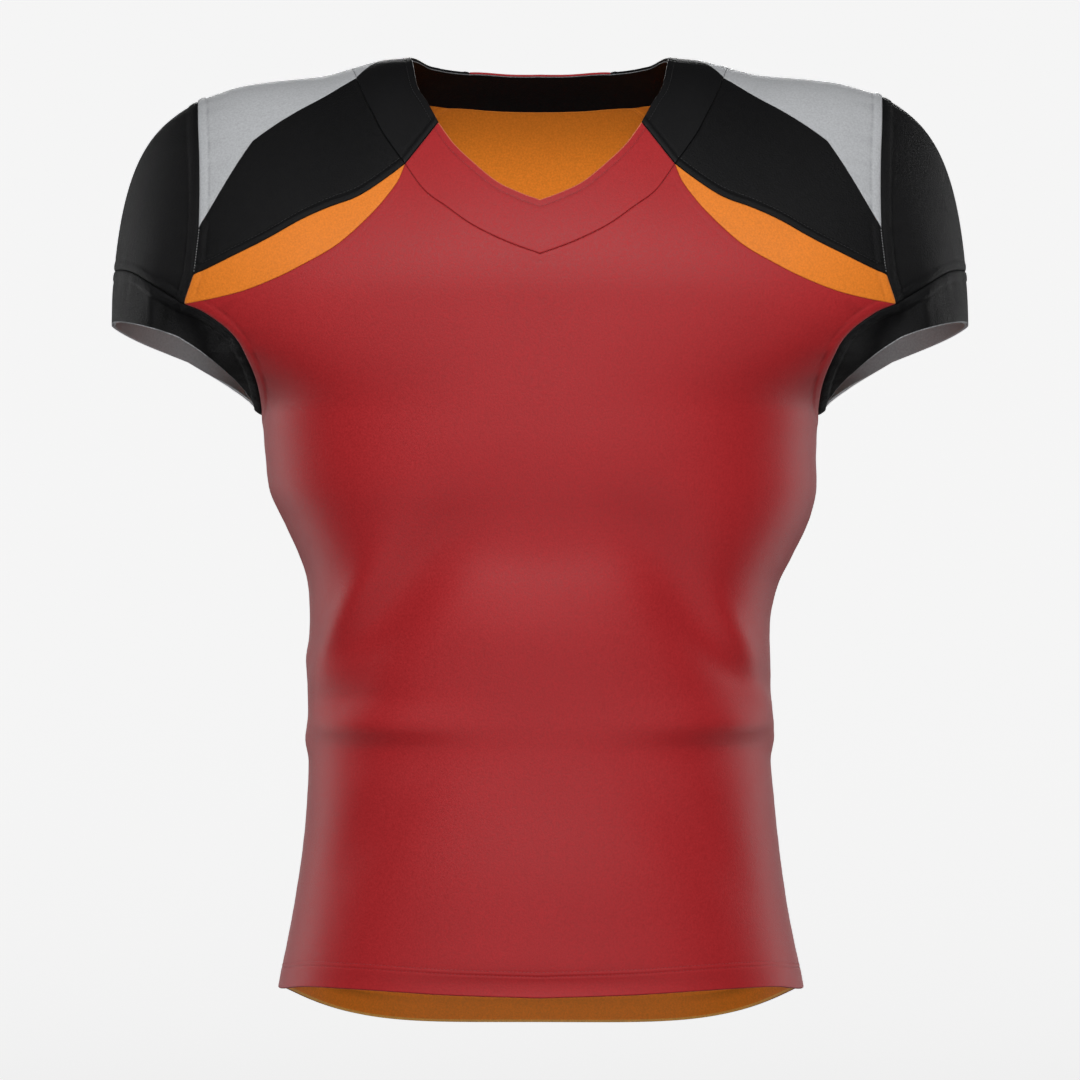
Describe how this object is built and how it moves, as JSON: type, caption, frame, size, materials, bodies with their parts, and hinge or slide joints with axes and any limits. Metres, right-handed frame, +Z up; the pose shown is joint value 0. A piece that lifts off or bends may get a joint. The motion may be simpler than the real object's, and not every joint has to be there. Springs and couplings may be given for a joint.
{
  "type": "reversible football jersey",
  "caption": "Short-sleeved reversible football jersey, filled out as if worn, with a wide V neckband, dark shoulder yokes, inset shoulder and chest panels, cuffs and a dropped tail.",
  "frame": {"origin": "midway between the tops of the two shoulders, where the wearer's shoulders hold the garment", "axes": "+X to the wearer's left, +Y to the back, +Z up; the front faces -Y"},
  "size_m": [0.685, 0.2558, 0.7812],
  "materials": {
    "red_cloth": "matte knit",
    "black_cloth": "matte knit",
    "grey_cloth": "matte knit",
    "orange_cloth": "matte knit"
  },
  "bodies": {
    "root": {"front": "red_cloth", "back": "red_cloth", "back_lining": "orange_cloth", "neckband_front": "red_cloth", "neckband_back": "red_cloth", "neckband_right": "black_cloth", "neckband_left": "black_cloth", "neck_facing": "black_cloth", "yoke_front_right": "black_cloth", "yoke_front_left": "black_cloth", "yoke_back_right": "black_cloth", "yoke_back_left": "black_cloth", "yoke_lining_right": "orange_cloth", "yoke_lining_left": "orange_cloth", "shoulder_inset_right": "grey_cloth", "shoulder_inset_left": "grey_cloth", "chest_inset_right": "orange_cloth", "chest_inset_left": "orange_cloth", "sleeve_cap_right": "black_cloth", "sleeve_cap_left": "black_cloth", "cuff_right": "black_cloth", "cuff_left": "black_cloth", "cuff_lining_right": "grey_cloth", "cuff_lining_left": "grey_cloth"}
  },
  "joints": []
}
